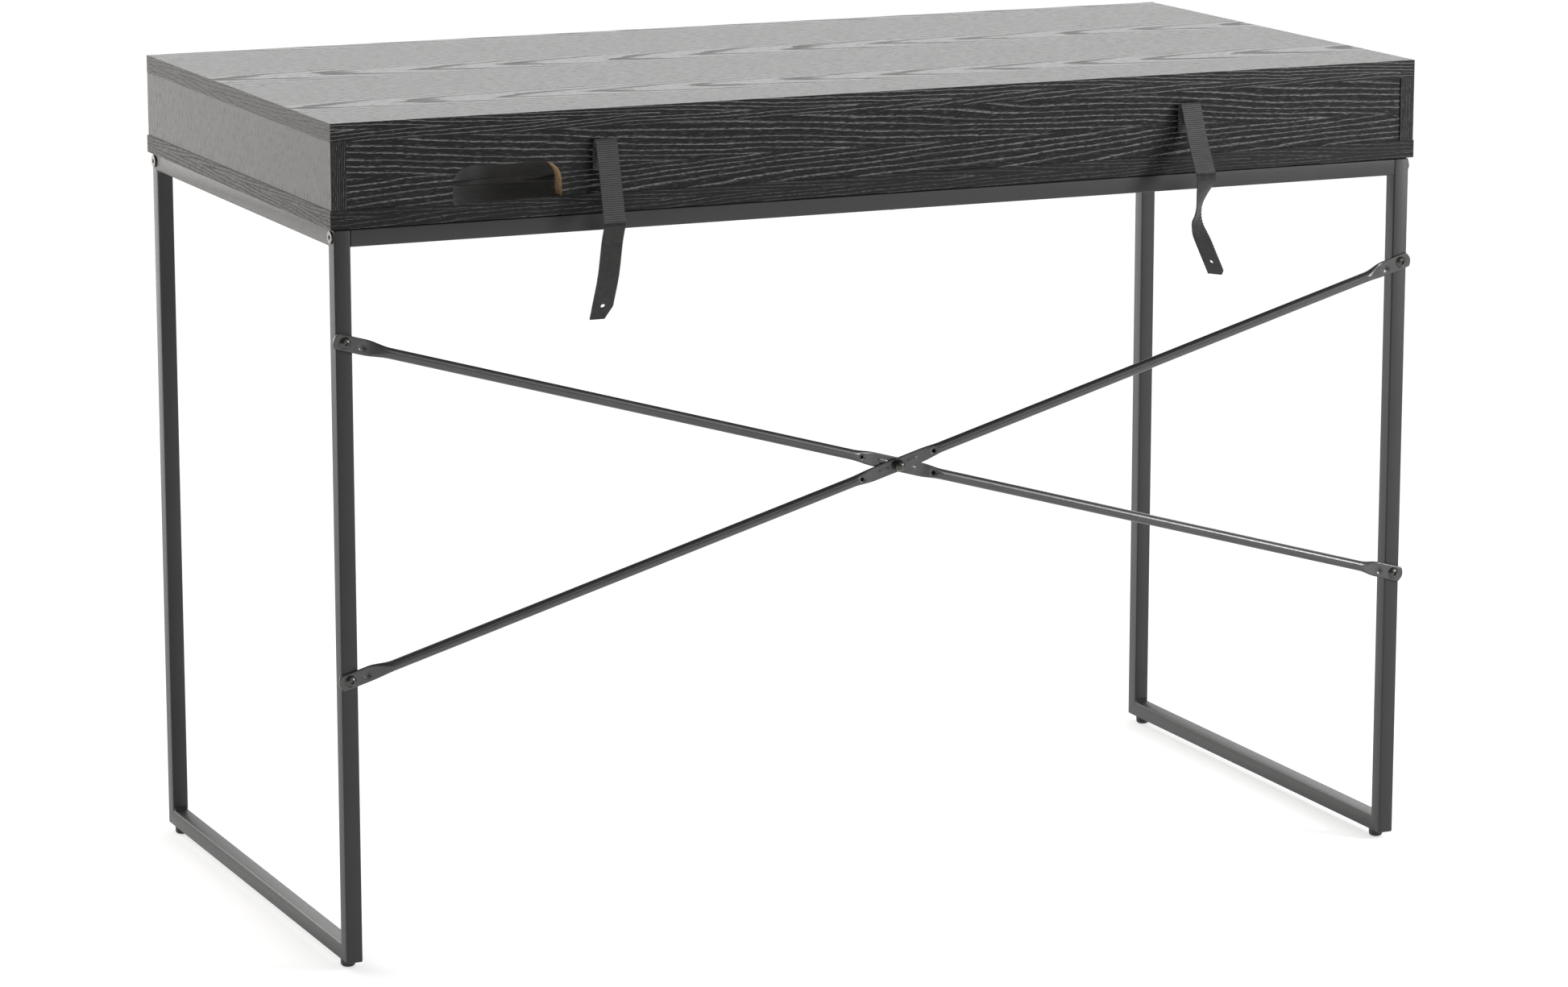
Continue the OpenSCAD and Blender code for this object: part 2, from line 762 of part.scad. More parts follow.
module strap_washers() {
    color(zinc) for (x = strap_x) along_y(x, tail_y + strap_t / 2, strap_screw_z) difference() {
        cylinder(r = washer_r, h = washer_t);
        translate([0, 0, -eps]) cylinder(r = strap_screw_r + fit, h = washer_t + 2 * eps);
    }
}

module strap_screws() {
    under_head = tail_y + strap_t / 2 + washer_t;
    color(black_steel) for (x = strap_x) {
        along_y(x, back_face_y - strap_screw_l + eps, strap_screw_z)
            cylinder(r = strap_screw_r, h = under_head - back_face_y + strap_screw_l);
        along_y(x, under_head, strap_screw_z) button_head(pan_r, pan_h);
    }
}

// ---- Nodes ------------------------------------------------------------------------

top_panel();
bottom_panel();
side_panel_left();
side_panel_right();
back_panel();
divider_middle();
divider_niche();
drawer_front(0);  // drawer_left_front
drawer_wall(0, -1);  // drawer_left_wall_left
drawer_wall(0, 1);  // drawer_left_wall_right
drawer_back(0);  // drawer_left_back
drawer_bottom(0);  // drawer_left_bottom
drawer_screws(0);  // drawer_left_screws
drawer_front(1);  // drawer_right_front
drawer_wall(1, -1);  // drawer_right_wall_left
drawer_wall(1, 1);  // drawer_right_wall_right
drawer_back(1);  // drawer_right_back
drawer_bottom(1);  // drawer_right_bottom
drawer_screws(1);  // drawer_right_screws
for (i = [0:3]) slide_outer(i);
for (i = [0:3]) slide_inner(i);
for (i = [0:3]) slide_cage(i);
slide_balls(0);  // slide_balls_left
slide_balls(1);  // slide_balls_right
slide_screws();
side_frame_left();
side_frame_right();
front_rail();
rear_rail();
rail_plugs();
corner_bolts();
frame_screws();
rivet_nuts();
brace_front();
brace_rear();
brace_bolts();
centre_bolt();
centre_cap_nut();
for (i = [0:3]) foot(i);
strap(0);  // strap_left
strap(1);  // strap_right
strap_screws();
strap_washers();
dowels();
cam_locks();
cam_bolts();
base_screws();
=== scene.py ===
"""Writing desk with drawers: the looks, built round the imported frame. Metres, +Z up, drawers face -Y."""
import math

import bmesh
import bpy
from mathutils import Matrix, Vector


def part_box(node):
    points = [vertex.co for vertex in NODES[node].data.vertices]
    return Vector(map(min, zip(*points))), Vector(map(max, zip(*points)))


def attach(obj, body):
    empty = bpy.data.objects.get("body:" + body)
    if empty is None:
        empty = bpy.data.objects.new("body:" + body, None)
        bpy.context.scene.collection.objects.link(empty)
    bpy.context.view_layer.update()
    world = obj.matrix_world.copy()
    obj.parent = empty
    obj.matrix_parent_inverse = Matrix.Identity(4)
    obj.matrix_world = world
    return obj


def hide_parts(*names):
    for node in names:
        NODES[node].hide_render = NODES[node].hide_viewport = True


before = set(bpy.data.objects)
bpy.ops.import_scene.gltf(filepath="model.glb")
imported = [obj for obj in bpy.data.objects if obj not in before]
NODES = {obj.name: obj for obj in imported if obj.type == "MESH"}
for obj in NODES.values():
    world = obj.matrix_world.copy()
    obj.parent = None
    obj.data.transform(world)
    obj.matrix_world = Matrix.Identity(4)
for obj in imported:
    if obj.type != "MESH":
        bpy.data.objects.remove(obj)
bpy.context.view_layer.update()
MM = 0.001

# ---- Camera, light and floor ---------------------------------------------------------

AIM = Vector((-0.003, 0.006, 0.331))
CAMERA_AZIMUTH = math.radians(155.85)
CAMERA_ELEVATION = math.radians(11.87)
CAMERA_DISTANCE = 4.9
LENS = 120.3
SENSOR = 36.0
# Light on the studio's walls: direction, the cosines of the patch's inner and outer rim, and the
# strength outside and inside it
WALLS = (
    ((0, -1, 0.1), 0.85, -0.1, 0.14, 2.1),
    ((0.62, -0.78, 0.0), 0.96, 0.70, 0.0, 1.6),
)
WARM = (1.0, 0.965, 0.925)


def towards(azimuth, elevation):
    """The unit vector from the desk to a place round it: azimuth 0 is in front, 90 at its right."""
    flat = math.cos(elevation)
    return Vector((math.sin(azimuth) * flat, -math.cos(azimuth) * flat, math.sin(elevation)))


def aimed(obj, place, target):
    obj.location = place
    obj.rotation_euler = (target - place).to_track_quat("-Z", "Y").to_euler()
    bpy.context.scene.collection.objects.link(obj)
    return obj


def make_camera():
    data = bpy.data.cameras.new("camera")
    data.lens = LENS
    data.sensor_width = SENSOR
    data.clip_end = 100
    place = AIM + CAMERA_DISTANCE * towards(CAMERA_AZIMUTH, CAMERA_ELEVATION)
    bpy.context.scene.camera = aimed(bpy.data.objects.new("camera", data), place, AIM)


def softbox(name, azimuth, elevation, distance, width, height, watts, tint=(1, 1, 1)):
    data = bpy.data.lights.new(name, "AREA")
    data.shape = "RECTANGLE"
    data.size = width
    data.size_y = height
    data.energy = watts
    data.color = tint
    place = AIM + distance * towards(math.radians(azimuth), math.radians(elevation))
    light = aimed(bpy.data.objects.new(name, data), place, AIM)
    light.visible_camera = False


def make_studio():
    """Pale walls all round, brightest low down in front of the desk, a small key light and a long strip
    behind its left side, and a broad soft light at its right."""
    bpy.context.scene.view_settings.view_transform = "Standard"
    world = bpy.data.worlds.new("studio")
    world.use_nodes = True
    tree = world.node_tree
    coord = tree.nodes.new("ShaderNodeTexCoord")

    def level(direction, near, far, low, high):
        """A soft patch on the walls: low beyond cosine far from the direction, high within near."""
        dot = tree.nodes.new("ShaderNodeVectorMath")
        dot.operation = "DOT_PRODUCT"
        dot.inputs[1].default_value = Vector(direction).normalized()
        tree.links.new(coord.outputs["Generated"], dot.inputs[0])
        ramp = tree.nodes.new("ShaderNodeMapRange")
        ramp.interpolation_type = "SMOOTHSTEP"
        tree.links.new(dot.outputs["Value"], ramp.inputs["Value"])
        for socket, value in zip(ramp.inputs[1:5], (far, near, low, high)):
            socket.default_value = value
        return ramp.outputs["Result"]

    parts = [level(*patch) for patch in WALLS]
    total = parts[0]
    for part in parts[1:]:
        plus = tree.nodes.new("ShaderNodeMath")
        tree.links.new(total, plus.inputs[0])
        tree.links.new(part, plus.inputs[1])
        total = plus.outputs[0]
    sky = tree.nodes["Background"]
    tint = tree.nodes.new("ShaderNodeMix")
    tint.data_type = "RGBA"
    tint.inputs[6].default_value = (1, 0.997, 0.99, 1)
    tint.inputs[7].default_value = (*WARM, 1)
    tree.links.new(parts[-1], tint.inputs["Factor"])
    tree.links.new(tint.outputs[2], sky.inputs["Color"])
    tree.links.new(total, sky.inputs["Strength"])
    bpy.context.scene.world = world

    softbox("key", 230, 19, 2.6, 0.42, 0.42, 38)
    softbox("rear_strip", 210, 37, 3.0, 3.4, 0.4, 16)
    softbox("right_side", 37, 9, 2.45, 2.6, 1.3, 18, WARM)


def make_floor():
    """A pale floor that glows a little, as a lit sweep does, so shadows on it stay faint."""
    half = 60
    mesh = bpy.data.meshes.new("floor")
    corners = [(-half, -half, 0), (half, -half, 0), (half, half, 0), (-half, half, 0)]
    mesh.from_pydata(corners, [], [(0, 1, 2, 3)])
    floor = bpy.data.objects.new("floor", mesh)
    bpy.context.scene.collection.objects.link(floor)
    material = bpy.data.materials.new("floor")
    material.use_nodes = True
    shader = material.node_tree.nodes["Principled BSDF"]
    shader.inputs["Base Color"].default_value = (0.55, 0.55, 0.55, 1)
    shader.inputs["Roughness"].default_value = 0.9
    shader.inputs["Specular IOR Level"].default_value = 0.0
    shader.inputs["Emission Color"].default_value = (1, 1, 1, 1)
    shader.inputs["Emission Strength"].default_value = 0.56
    mesh.materials.append(material)


# ---- Material helpers ----------------------------------------------------------------


class Graph:
    """A node material. Its methods add one node each and return the output socket."""

    def __init__(self, name, **shader):
        self.material = bpy.data.materials.new(name)
        self.material.use_nodes = True
        self.tree = self.material.node_tree
        self.shader = self.tree.nodes["Principled BSDF"]
        for key, value in shader.items():
            self.shader.inputs[key.replace("_", " ")].default_value = value
        self.place = self.add("ShaderNodeTexCoord")

    def add(self, kind, **settings):
        node = self.tree.nodes.new(kind)
        for key, value in settings.items():
            setattr(node, key, value)
        return node

    def plug(self, socket, value):
        if isinstance(value, bpy.types.NodeSocket):
            self.tree.links.new(value, socket)
        else:
            socket.default_value = value

    def op(self, operation, *values, clamp=False):
        node = self.add("ShaderNodeMath", operation=operation, use_clamp=clamp)
        for socket, value in zip(node.inputs, values):
            self.plug(socket, value)
        return node.outputs[0]

    def split(self, vector):
        node = self.add("ShaderNodeSeparateXYZ")
        self.plug(node.inputs[0], vector)
        return node.outputs

    def join(self, x, y, z=0.0):
        node = self.add("ShaderNodeCombineXYZ")
        for socket, value in zip(node.inputs, (x, y, z)):
            self.plug(socket, value)
        return node.outputs[0]

    def noise(self, vector, scale=1.0, detail=2.0, roughness=0.5):
        node = self.add("ShaderNodeTexNoise")
        self.plug(node.inputs["Vector"], vector)
        node.inputs["Scale"].default_value = scale
        node.inputs["Detail"].default_value = detail
        node.inputs["Roughness"].default_value = roughness
        return node.outputs["Fac"]

    def ramp(self, value, *stops):
        node = self.add("ShaderNodeMapRange", interpolation_type="SMOOTHSTEP")
        self.plug(node.inputs["Value"], value)
        for socket, number in zip(node.inputs[1:5], stops):
            socket.default_value = number
        return node.outputs["Result"]

    def mix(self, amount, a, b):
        node = self.add("ShaderNodeMix", data_type="RGBA")
        self.plug(node.inputs["Factor"], amount)
        for socket, value in ((node.inputs[6], a), (node.inputs[7], b)):
            self.plug(socket, (*value, 1) if isinstance(value, tuple) else value)
        return node.outputs[2]

    def bump(self, height, depth, strength=1.0):
        node = self.add("ShaderNodeBump")
        node.inputs["Strength"].default_value = strength
        node.inputs["Distance"].default_value = depth
        self.plug(node.inputs["Height"], height)
        self.plug(self.shader.inputs["Normal"], node.outputs[0])

    def paint(self, color=None, roughness=None):
        if color is not None:
            self.plug(self.shader.inputs["Base Color"], color)
        if roughness is not None:
            self.plug(self.shader.inputs["Roughness"], roughness)


# ---- Ash foil ------------------------------------------------------------------------

# Which way the grain runs on a board's X, Y and Z faces: (along, across) for each
GRAIN = {
    "flat": (("y", "z"), ("x", "z"), ("x", "y")),
    "back": (("z", "y"), ("x", "z"), ("x", "y")),
    "side": (("z", "y"), ("z", "x"), ("y", "x")),
}
FOIL_DARK = (0.0046, 0.0046, 0.0048)
FOIL_PORE = (0.175, 0.173, 0.171)
CHIPBOARD = (0.62, 0.40, 0.22)
FOIL_SMOOTH = 0.31
FOIL_PORE_ROUGHER = 0.50
FOIL_EDGE_ROUGHER = 0.15
FOIL_PORE_DEPTH = 0.00008
# The grain in millimetres: the length between rings on an arch's axis, and how fast an arch opens
ARCH_SPACING = 92.0
ARCH_FLARE = 6.8
# Where in a ring, from 0 to 1, its row of pores thickens, its first dense line begins, and both end
ROW_STARTS = (0.64, 0.93)
LINE_STARTS = (0.86, 0.93)
ROW_ENDS = (0.975, 0.999)


def face_grain(g, kind, shift, edge):
    """The position along and across the grain, in millimetres, on whichever face of the board, and
    1 on the board's narrow faces. shift moves the pattern; edge moves it further across on those."""
    normal = g.split(g.place.outputs["Normal"])
    steep_x = g.op("GREATER_THAN", g.op("ABSOLUTE", normal[0]), 0.7)
    steep_z = g.op("GREATER_THAN", g.op("ABSOLUTE", normal[2]), 0.7)
    steep_y = g.op("SUBTRACT", g.op("SUBTRACT", 1.0, steep_x), steep_z)
    spot = dict(zip("xyz", g.split(g.place.outputs["Object"])))
    result = []
    for which in (0, 1):
        total = 0.0
        for mask, pair in zip((steep_x, steep_y, steep_z), GRAIN[kind]):
            total = g.op("MULTIPLY_ADD", mask, spot[pair[which]], total)
        result.append(g.op("MULTIPLY_ADD", total, 1000.0, shift[which]))
    narrow = g.op("SUBTRACT", 1.0, {"flat": steep_z, "back": steep_y, "side": steep_x}[kind])
    return result[0], g.op("MULTIPLY_ADD", narrow, edge, result[1]), narrow


def wander(g, along, across, long, wide, reach):
    """A smooth random shift of up to about reach either way, over patches of long by wide."""
    spot = g.join(g.op("MULTIPLY", along, 1 / long), g.op("MULTIPLY", across, 1 / wide))
    field = g.noise(spot, detail=1.5)
    return g.op("MULTIPLY", g.op("SUBTRACT", field, 0.5), 3.0 * reach)


def ash(name, kind, shift=(0.0, 0.0), edge=0.0, column=207.0, bend=8.0, pore=1.0, finer=1.0,
        mark=0.5, cut_out=None):
    """Black ash foil. Rows of pale open pores follow the growth rings, which run straight between
    columns of nested pointed arches; the late wood between the rows is smooth and near black.

    column is the width from one column of arches to the next, bend how far the rings wander, pore
    how pale the pores are, finer how tight the arches are, and mark how dense each ring's first line is.
    """
    g = Graph(name, Specular_IOR_Level=0.22)
    along, across, narrow = face_grain(g, kind, shift, edge)
    bent = g.op("ADD", across, wander(g, along, across, 330, 75, bend))
    bent = g.op("ADD", bent, wander(g, along, across, 34, 10, 0.7))
    bent = g.op("ADD", bent, wander(g, along, across, 7, 3, 0.35))

    off = g.op("PINGPONG", bent, column / 2)
    rings = g.op("MULTIPLY_ADD", g.op("MULTIPLY", off, off), finer / ARCH_FLARE / ARCH_SPACING,
                 g.op("MULTIPLY", along, 1 / ARCH_SPACING))
    rings = g.op("ADD", rings, wander(g, along, across, 120, 16, 0.28))
    year = g.op("FRACT", rings)
    row = g.op("MULTIPLY", g.ramp(year, *ROW_STARTS, 0.0, 1.0), g.ramp(year, *ROW_ENDS, 1.0, 0.0))
    start = g.op("MULTIPLY", g.ramp(year, *LINE_STARTS, 0.0, 1.0), g.ramp(year, *ROW_ENDS, 1.0, 0.0))

    dots = g.noise(g.join(g.op("MULTIPLY", along, 1 / 5.0), g.op("MULTIPLY", bent, 1 / 1.0)), detail=2)
    patch = g.noise(g.join(g.op("MULTIPLY", along, 1 / 85), g.op("MULTIPLY", rings, 0.8)), detail=1.5)
    dense = g.op("MULTIPLY", g.ramp(dots, 0.38, 0.58, 0.05, 1.0), g.ramp(patch, 0.30, 0.62, 0.40, 1.0))
    stray = g.noise(g.join(g.op("MULTIPLY", along, 1 / 9.0), g.op("MULTIPLY", bent, 1 / 0.7)), detail=2)
    stray = g.ramp(stray, 0.55, 0.72, 0.0, 0.30)
    dense = g.op("MAXIMUM", dense, g.op("MULTIPLY", start, mark))
    pores = g.op("MAXIMUM", g.op("MULTIPLY", row, dense), stray)

    color = g.mix(g.op("MULTIPLY", pores, pore), FOIL_DARK, FOIL_PORE)
    rough = g.op("MULTIPLY_ADD", g.op("SQRT", pores), FOIL_PORE_ROUGHER, FOIL_SMOOTH)
    if kind == "flat":
        rough = g.op("MULTIPLY_ADD", narrow, FOIL_EDGE_ROUGHER, rough)
    if cut_out:
        color, rough = chipboard_edge(g, color, rough, cut_out)
    g.paint(color, rough)
    g.bump(g.op("SUBTRACT", 1.0, pores), FOIL_PORE_DEPTH, 0.5)
    return g.material


def chipboard_edge(g, color, rough, cut_out):
    """Raw board inside the cable cut-out; cut_out is its lowest and highest corner."""
    normal = g.split(g.place.outputs["Normal"])
    spot = g.split(g.place.outputs["Object"])
    inside = g.op("LESS_THAN", g.op("ABSOLUTE", normal[1]), 0.6)
    for axis in (0, 2):
        low, high = cut_out[0][axis], cut_out[1][axis]
        half, middle = (high - low) / 2, (high + low) / 2
        near = g.op("LESS_THAN", g.op("ABSOLUTE", g.op("SUBTRACT", spot[axis], middle)), half)
        inside = g.op("MULTIPLY", inside, near)
    grit = g.noise(g.place.outputs["Object"], 620, 3, 0.65)
    chips = g.noise(g.place.outputs["Object"], 190, 2)
    tan = g.mix(g.ramp(grit, 0.35, 0.65, 0, 1), tuple(0.62 * v for v in CHIPBOARD), CHIPBOARD)
    tan = g.mix(g.ramp(chips, 0.5, 0.7, 0, 0.6), tan, (0.80, 0.60, 0.38))
    return g.mix(inside, color, tan), g.op("MULTIPLY_ADD", inside, 0.35, rough)


# ---- Other materials -----------------------------------------------------------------


def powder_coat(name="powder_coat", dark=0.021, gloss=0.0, metal=0.0):
    """Fine orange peel over a dark grey; gloss makes it smoother, and metal more like bare steel."""
    g = Graph(name, Specular_IOR_Level=0.4 + gloss, Metallic=metal)
    spot = g.place.outputs["Object"]
    peel = g.noise(spot, 900, 3, 0.6)
    cloud = g.noise(spot, 26, 3)
    color = g.mix(cloud, (dark, dark, dark * 1.03), (dark * 1.38, dark * 1.38, dark * 1.4))
    g.paint(color, g.ramp(peel, 0.3, 0.7, 0.40 - gloss, 0.54 - gloss))
    g.bump(peel, 0.00009, 0.35 - gloss)
    return g.material


def bolt_steel():
    g = Graph("black_bolt", Metallic=0.85)
    wear = g.noise(g.place.outputs["Object"], 700, 3)
    g.paint(g.mix(wear, (0.05, 0.047, 0.044), (0.11, 0.104, 0.098)), g.ramp(wear, 0.3, 0.7, 0.2, 0.36))
    return g.material


def zinc_plate():
    g = Graph("zinc", Metallic=1.0)
    x, y, z = g.split(g.place.outputs["Object"])
    lines = g.join(g.op("MULTIPLY", x, 2400), g.op("MULTIPLY", y, 30), g.op("MULTIPLY", z, 2400))
    drawn = g.noise(lines, detail=2)
    cloud = g.noise(g.place.outputs["Object"], 60, 2)
    g.paint(g.mix(cloud, (0.50, 0.51, 0.53), (0.66, 0.67, 0.69)), g.ramp(drawn, 0.3, 0.7, 0.24, 0.42))
    g.bump(drawn, 0.00003, 0.3)
    return g.material


def ball_steel():
    g = Graph("ball_steel", Metallic=1.0)
    haze = g.noise(g.place.outputs["Object"], 900, 2)
    g.paint(g.mix(haze, (0.70, 0.70, 0.72), (0.78, 0.78, 0.80)), g.ramp(haze, 0.3, 0.7, 0.06, 0.14))
    return g.material


def black_plastic():
    g = Graph("black_plastic", Specular_IOR_Level=0.45)
    grain = g.noise(g.place.outputs["Object"], 1500, 2)
    g.paint(g.mix(grain, (0.008, 0.008, 0.008), (0.014, 0.014, 0.0145)), g.ramp(grain, 0.3, 0.7, 0.36, 0.5))
    g.bump(grain, 0.00005, 0.4)
    return g.material


def beech():
    g = Graph("beech")
    x, y, z = g.split(g.place.outputs["Object"])
    lines = g.join(g.op("MULTIPLY", x, 1100), g.op("MULTIPLY", y, 1100), g.op("MULTIPLY", z, 90))
    grain = g.noise(lines, detail=3)
    g.paint(g.mix(grain, (0.46, 0.30, 0.17), (0.70, 0.52, 0.33)), 0.6)
    g.bump(grain, 0.0001, 0.4)
    return g.material


def hardboard():
    g = Graph("hardboard", Specular_IOR_Level=0.3)
    fibre = g.noise(g.place.outputs["Object"], 420, 4, 0.6)
    g.paint(g.mix(fibre, (0.016, 0.016, 0.016), (0.034, 0.033, 0.032)), g.ramp(fibre, 0.3, 0.7, 0.5, 0.62))
    g.bump(fibre, 0.00008, 0.4)
    return g.material


def webbing():
    """Cross ribs and fine yarns, with painted shade in the rib valleys and a painted shadow in the fold,
    and darker below the fold. The UV map holds millimetres:
    U along the strap from its lower fold, V across it."""
    g = Graph("webbing", Specular_IOR_Level=0.3, Sheen_Weight=0.2, Sheen_Roughness=0.4)
    spot = g.place.outputs["Object"]
    length, across, _ = g.split(g.place.outputs["UV"])
    rib = g.op("COSINE", g.op("MULTIPLY", length, 2 * math.pi / (RIB / MM)))
    rib = g.op("MULTIPLY_ADD", rib, 0.5, 0.5)
    yarn = g.op("SINE", g.op("MULTIPLY", across, 2 * math.pi / (YARN / MM)))
    fuzz = g.noise(spot, 2600, 3, 0.7)
    worn = g.noise(spot, 150, 2)
    cloth = g.op("MULTIPLY", g.op("MULTIPLY_ADD", yarn, 0.25, fuzz), 0.6)
    weave = g.op("ADD", cloth, g.op("MULTIPLY", rib, 0.5))
    # Painted shade and highlight: the rib valleys are coloured darker and the crests lighter, over the yarn
    # texture.
    lit = g.ramp(weave, 0.2, 0.9, 0, 1)
    upper = g.mix(lit, (0.006, 0.006, 0.0061), (0.105, 0.104, 0.103))
    lower = g.mix(lit, (0.007, 0.0068, 0.0066), (0.026, 0.025, 0.024))
    color = g.mix(g.ramp(length, -0.5, 1.5, 0, 1), upper, lower)
    # Painted shadow: the strap is coloured near black in its fold, where the crease's shade falls.
    fold = g.ramp(g.op("ABSOLUTE", length), 0.8, 2.6, 1, 0)
    g.paint(g.mix(fold, color, (0.006, 0.006, 0.006)), g.ramp(worn, 0.3, 0.7, 0.55, 0.72))
    g.bump(weave, WEAVE_DEPTH, 0.7)
    return g.material


# ---- Mesh helpers --------------------------------------------------------------------


def finish_mesh(bm, name, material, node):
    """Makes the object, smooth-shaded with outward normals, in place of a node of the carcass."""
    bmesh.ops.recalc_face_normals(bm, faces=bm.faces)
    mesh = bpy.data.meshes.new(name)
    bm.to_mesh(mesh)
    bm.free()
    for face in mesh.polygons:
        face.use_smooth = True
    mesh.materials.append(material)
    piece = bpy.data.objects.new(name, mesh)
    bpy.context.scene.collection.objects.link(piece)
    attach(piece, "carcass")
    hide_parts(node)
    return piece


def sharpen(piece, degrees):
    """Keeps edges over this angle crisp on a smooth piece."""
    mesh = piece.data
    bm = bmesh.new()
    bm.from_mesh(mesh)
    for edge in bm.edges:
        edge.smooth = len(edge.link_faces) == 2 and edge.calc_face_angle(0) < math.radians(degrees)
    bm.to_mesh(mesh)
    bm.free()


def loft(bm, sections):
    """Skins rings of points, each the same length, caps the ends, and returns the rings of vertices."""
    rings = [[bm.verts.new(p) for p in ring] for ring in sections]
    count = len(rings[0])
    for low, high in zip(rings, rings[1:]):
        for k in range(count):
            bm.faces.new((low[k], low[(k + 1) % count], high[(k + 1) % count], high[k]))
    bm.faces.new(rings[0][::-1])
    bm.faces.new(rings[-1])
    return rings


def dress(names, material, edge=0.0):
    """Gives CAD nodes a material, and softens their edges with a bevel of this width."""
    for name in names:
        node = NODES[name]
        node.data.materials.clear()
        node.data.materials.append(material)
        if edge:
            weld = node.modifiers.new("weld", "WELD")
            weld.merge_threshold = 1e-6
            bevel = node.modifiers.new("edge", "BEVEL")
            bevel.width = edge
            bevel.segments = 2
            bevel.limit_method = "ANGLE"
            bevel.angle_limit = math.radians(50)
            bevel.harden_normals = True


# ---- Frame ---------------------------------------------------------------------------

TUBE = 15 * MM
TUBE_WALL = 1.2 * MM
TUBE_EDGE = 1.5 * MM
SEAM = 0.9 * MM  # the dark joint between the frame and the box, where both edges are rounded
BEAD_LEG = 3.1 * MM
BEAD_RIPPLE = 0.45 * MM
BEAD_PITCH = 1.9 * MM
BEAD_END = 1.1 * MM  # how far the bead stops short of the tube's sides
BEAD_STEPS = 36
CORNER_STEPS = 4


def weld_bead(bm, x0, x1, corner, up, out):
    """A rippled fillet weld along X in an inner corner; up and out point away from the corner."""
    sections = []
    for i in range(BEAD_STEPS + 1):
        t = i / BEAD_STEPS
        x = x0 + (x1 - x0) * t
        swell = abs(math.sin(math.pi * (x - x0) / BEAD_PITCH))
        size = (BEAD_LEG + BEAD_RIPPLE * swell) * min(1.0, 0.45 + 6 * min(t, 1 - t))
        ring = [Vector((x, *corner))]
        for k in range(7):
            a = math.pi / 2 * k / 6
            reach = size * (1 - 0.18 * math.sin(2 * a))
            y = corner[0] + out * reach * math.cos(a) ** 1.35
            z = corner[1] + up * reach * math.sin(a) ** 1.35
            ring.append(Vector((x, y, z)))
        sections.append(ring)
    loft(bm, sections)


def side_frame(name, material):
    """A welded loop of square tube with rounded edges and a bead in each inner corner."""
    low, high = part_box(name)
    high.z -= SEAM
    bm = bmesh.new()
    grid = {}
    for x in (low.x, high.x):
        for inset in (0.0, TUBE):
            for y, z in ((low.y + inset, low.z + inset), (high.y - inset, low.z + inset),
                         (high.y - inset, high.z - inset), (low.y + inset, high.z - inset)):
                grid.setdefault((x, inset), []).append(bm.verts.new((x, y, z)))
    for k in range(4):
        n = (k + 1) % 4
        for inset in (0.0, TUBE):
            a, b = grid[(low.x, inset)], grid[(high.x, inset)]
            bm.faces.new((a[k], a[n], b[n], b[k]))
        for x in (low.x, high.x):
            a, b = grid[(x, 0.0)], grid[(x, TUBE)]
            bm.faces.new((a[k], a[n], b[n], b[k]))
    bmesh.ops.recalc_face_normals(bm, faces=bm.faces)
    sharp = [e for e in bm.edges if e.calc_face_angle(0) > 1]
    bmesh.ops.bevel(bm, geom=sharp, offset=TUBE_EDGE, segments=3, affect="EDGES", profile=0.5)
    for y, out in ((low.y + TUBE, 1), (high.y - TUBE, -1)):
        for z, up in ((low.z + TUBE, 1), (high.z - TUBE, -1)):
            weld_bead(bm, low.x + BEAD_END, high.x - BEAD_END, (y, z), up, out)
    piece = finish_mesh(bm, name + "_tube", material, name)
    sharpen(piece, 40)


def rounded_square(half, radius):
    """A square outline with rounded corners: its half width and its corner radius."""
    points = []
    for cx, cy, start in ((1, 1, 0), (-1, 1, 90), (-1, -1, 180), (1, -1, 270)):
        for i in range(CORNER_STEPS + 1):
            a = math.radians(start + 90 * i / CORNER_STEPS)
            inner = half - radius
            points.append((cx * inner + radius * math.cos(a), cy * inner + radius * math.sin(a)))
    return points


def cross_rail(name, material):
    """A straight square tube along X, open at both ends."""
    low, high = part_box(name)
    y, z = (low.y + high.y) / 2, (low.z + high.z) / 2 - (SEAM if high.z > 0.6 else 0)
    outer = rounded_square(TUBE / 2, TUBE_EDGE)
    inner = rounded_square(TUBE / 2 - TUBE_WALL, TUBE_EDGE - 0.9 * MM)
    bm = bmesh.new()
    rings = []
    for x, outline in ((low.x, inner), (low.x, outer), (high.x, outer), (high.x, inner)):
        rings.append([bm.verts.new((x, y + a, z + b)) for a, b in outline])
    for first, second in zip(rings, rings[1:] + rings[:1]):
        for k in range(len(first)):
            n = (k + 1) % len(first)
            bm.faces.new((first[k], first[n], second[n], second[k]))
    sharpen(finish_mesh(bm, name + "_tube", material, name), 40)


# ---- Brace ---------------------------------------------------------------------------

BRACE_TOP = 553 * MM
BRACE_LOW = 259 * MM
BRACE_D = 9.5 * MM
PLATE_T = 2.4 * MM
END_W = 14 * MM
MID_W = 12.6 * MM
END_R = 10.4 * MM
END_FLAT = 18 * MM
MID_FLAT = 24 * MM
FLARE = 22 * MM
END_HOLE = 16 * MM
MID_HOLE = 36.6 * MM
END_HOLE_FLOOR = 0.8 * MM
MID_HOLE_FLOOR = 3.4 * MM
PRESS_R = 1.9 * MM
DIMPLE_W = 2.3 * MM
DIMPLE_DEPTH = 0.9 * MM
STATION = 0.9 * MM  # between sections where the brace is pressed
TUBE_STATION = 20 * MM
MARGIN = 6 * MM
# The stiffening ridge pressed into each side of the middle: its place, half length and half width,
# how far its ends and sides slope, and its height
RIDGE_AT = 14.5 * MM
RIDGE_L = 5.5 * MM
RIDGE_W = 2.3 * MM
RIDGE_END = 2.2 * MM
RIDGE_SIDE = 1.8 * MM
RIDGE_H = 0.75 * MM
RING_POINTS = 56


def smooth_step(t):
    t = min(1.0, max(0.0, t))
    return t * t * (3 - 2 * t)


